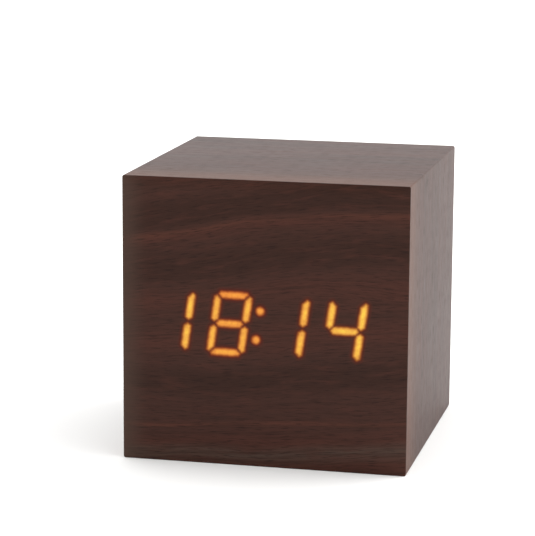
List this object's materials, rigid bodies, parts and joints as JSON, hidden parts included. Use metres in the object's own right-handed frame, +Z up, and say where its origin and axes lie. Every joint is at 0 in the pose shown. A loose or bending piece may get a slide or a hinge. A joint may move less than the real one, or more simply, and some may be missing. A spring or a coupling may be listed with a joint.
{
  "type": "alarm clock",
  "caption": "Cube-shaped LED alarm clock: dark wood-grain case, amber digits glowing through the front film, rear buttons, battery door and power inlet.",
  "frame": {"origin": "centre of the case's footprint, on the surface it stands on", "axes": "+Z up, -Y out of the front with the digits, +X to the right as seen from the front"},
  "size_m": [0.062, 0.062, 0.062],
  "materials": {
    "case_foil": "satin printed wood-grain foil over MDF",
    "front_foil": "dark satin printed wood-grain film",
    "mdf": "raw sanded MDF",
    "display_white": "moulded white reflector plastic",
    "lit_resin": "milky resin bars, lit amber",
    "clear_resin": "milky resin bars, unlit",
    "circuit_board": "green solder mask over fibreglass",
    "led_yellow": "light-emitting chip, encapsulated",
    "steel": "zinc-plated steel",
    "black_steel": "black-oxide steel",
    "chip_epoxy": "moulded black epoxy",
    "capacitor_sleeve": "shrunk sleeve over an aluminium can",
    "tinned_steel": "tinned steel",
    "buzzer_black": "moulded black plastic",
    "socket_nylon": "natural nylon",
    "ribbon_pvc": "grey PVC ribbon",
    "switch_black": "moulded black switch body",
    "button_abs": "black ABS, lightly polished",
    "inlet_nylon": "black glass-filled nylon",
    "nickel_strip": "nickel-plated spring steel",
    "cell_wrap": "printed wrapper over a steel cell can",
    "cover_abs": "fine-textured black ABS",
    "red_pvc": "red PVC insulation",
    "black_pvc": "black PVC insulation"
  },
  "bodies": {
    "root": {"top_board": "case_foil", "bottom_board": "case_foil", "left_board": "case_foil", "right_board": "case_foil", "front_film": "front_foil", "front_board": "mdf", "corner_blocks": "mdf", "display_housing": "display_white", "lit_bars": "lit_resin", "dark_bars": "clear_resin", "colon_dots": "lit_resin", "led_board": "circuit_board", "main_board": "circuit_board", "led_chips": "led_yellow", "display_screws": "steel", "board_screws": "steel", "cover_screws": "black_steel", "driver_chip": "chip_epoxy", "control_chip": "chip_epoxy", "capacitor": "capacitor_sleeve", "crystal": "tinned_steel", "buzzer": "buzzer_black", "microphone": "tinned_steel", "ribbon_sockets": "socket_nylon", "display_ribbon": "ribbon_pvc", "switch_bodies": "switch_black", "power_inlet": "tinned_steel", "inlet_core": "inlet_nylon", "negative_contact": "nickel_strip", "positive_contact": "nickel_strip", "left_link_contact": "nickel_strip", "right_link_contact": "nickel_strip", "contact_springs": "nickel_strip", "lower_cell": "cell_wrap", "middle_cell": "cell_wrap", "upper_cell": "cell_wrap", "rear_cover": "cover_abs", "red_lead": "red_pvc", "black_lead": "black_pvc"},
    "set_button": {"set_button": "button_abs", "set_stem": "switch_black"},
    "up_button": {"up_button": "button_abs", "up_stem": "switch_black"},
    "down_button": {"down_button": "button_abs", "down_stem": "switch_black"},
    "battery_door": {"battery_door": "cover_abs"}
  },
  "joints": [
    {"name": "set_press", "type": "slide", "parent": "root", "child": "set_button", "axis": [0, -1, 0], "range_m": [0, 0.0003], "stiffness_N_per_m": 800},
    {"name": "up_press", "type": "slide", "parent": "root", "child": "up_button", "axis": [0, -1, 0], "range_m": [0, 0.0003], "stiffness_N_per_m": 800},
    {"name": "down_press", "type": "slide", "parent": "root", "child": "down_button", "axis": [0, -1, 0], "range_m": [0, 0.0003], "stiffness_N_per_m": 800},
    {"name": "battery_door_hinge", "type": "hinge", "parent": "root", "child": "battery_door", "pos_m": [0, 0.0292, 0.0125], "axis": [-1, 0, 0], "range_deg": [0, 90]}
  ]
}
